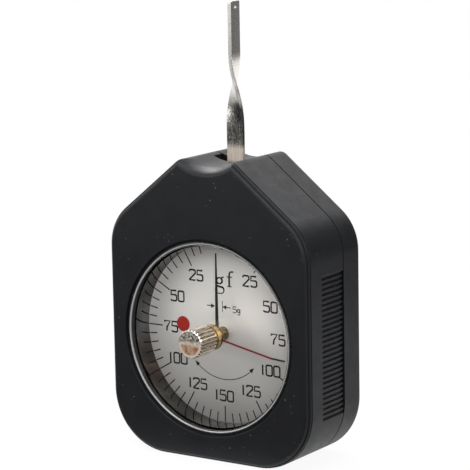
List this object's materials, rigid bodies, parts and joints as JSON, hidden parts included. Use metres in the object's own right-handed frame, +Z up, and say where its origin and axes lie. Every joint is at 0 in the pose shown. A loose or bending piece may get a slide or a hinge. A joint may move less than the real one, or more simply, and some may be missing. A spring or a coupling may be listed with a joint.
{
  "type": "force gauge",
  "caption": "Hand-held dial force gauge with a twisted feeler lever at the top, a round window and a central reset knob for the peak pointer.",
  "frame": {"origin": "middle of the base face the gauge stands on, on the mid-plane of the case", "axes": "+Z up along the feeler lever, +X to the right seen from the dial, +Y from the dial to the back"},
  "size_m": [0.062, 0.0338, 0.1191],
  "materials": {
    "case_plastic": "fine moulded texture, semi-matt black",
    "black_screw": "blackened steel",
    "bright_ring": "polished",
    "clear_window": "clear, polished",
    "gloss_black": "gloss black",
    "silver_dial": "satin silver, printed in black",
    "knob_brass": "turned, pale",
    "bush_brass": "turned",
    "plate_brass": "brushed",
    "red_paint": "gloss red",
    "black_paint": "satin black",
    "lever_steel": "satin, plated",
    "bright_steel": "bright",
    "spring_steel": "hardened strip"
  },
  "bodies": {
    "root": {"front_case": "case_plastic", "rear_case": "case_plastic", "case_screws": "black_screw", "window_ring": "bright_ring", "crystal": "clear_window", "dial_spacer": "gloss_black", "dial": "silver_dial", "friction_washer": "bush_brass", "knob_bush": "bush_brass", "bush_nut": "bush_brass", "movement_front_plate": "plate_brass", "movement_rear_plate": "plate_brass", "plate_pillars": "plate_brass", "pillar_screws": "bright_steel", "movement_screws": "bright_steel", "arbor_bushes": "bush_brass", "lever_bushes": "bush_brass", "hairspring": "spring_steel", "hairspring_stud": "bush_brass", "measuring_spring": "spring_steel", "spring_stud": "bush_brass", "stop_pins": "bright_steel"},
    "lever": {"feeler_lever": "lever_steel", "lever_hub": "plate_brass", "lever_rivets": "bright_steel", "lever_shaft": "bright_steel", "sector_gear": "plate_brass", "balance_weight": "plate_brass", "spring_collet": "bush_brass"},
    "pointer": {"pinion_arbor": "bright_steel", "pointer": "black_paint", "pointer_hub": "bush_brass", "hairspring_collet": "bush_brass"},
    "knob": {"reset_knob": "knob_brass", "peak_hub": "bush_brass", "peak_pointer": "red_paint"}
  },
  "joints": [
    {"name": "lever_swing", "type": "hinge", "parent": "root", "child": "lever", "pos_m": [0, 0, 0.0538], "axis": [0, 1, 0], "range_deg": [-7.5, 7.5], "stiffness_Nm_per_rad": 0.73},
    {"name": "pointer_turn", "type": "hinge", "parent": "root", "child": "pointer", "pos_m": [0, 0, 0.0328], "axis": [0, 1, 0], "range_deg": [-180, 180]},
    {"name": "knob_turn", "type": "hinge", "parent": "root", "child": "knob", "pos_m": [0, 0, 0.0328], "axis": [0, 1, 0], "range_deg": [-101, 251]}
  ],
  "couplings": [
    {"joint": "pointer_turn", "follows": "lever_swing", "ratio": -24}
  ]
}
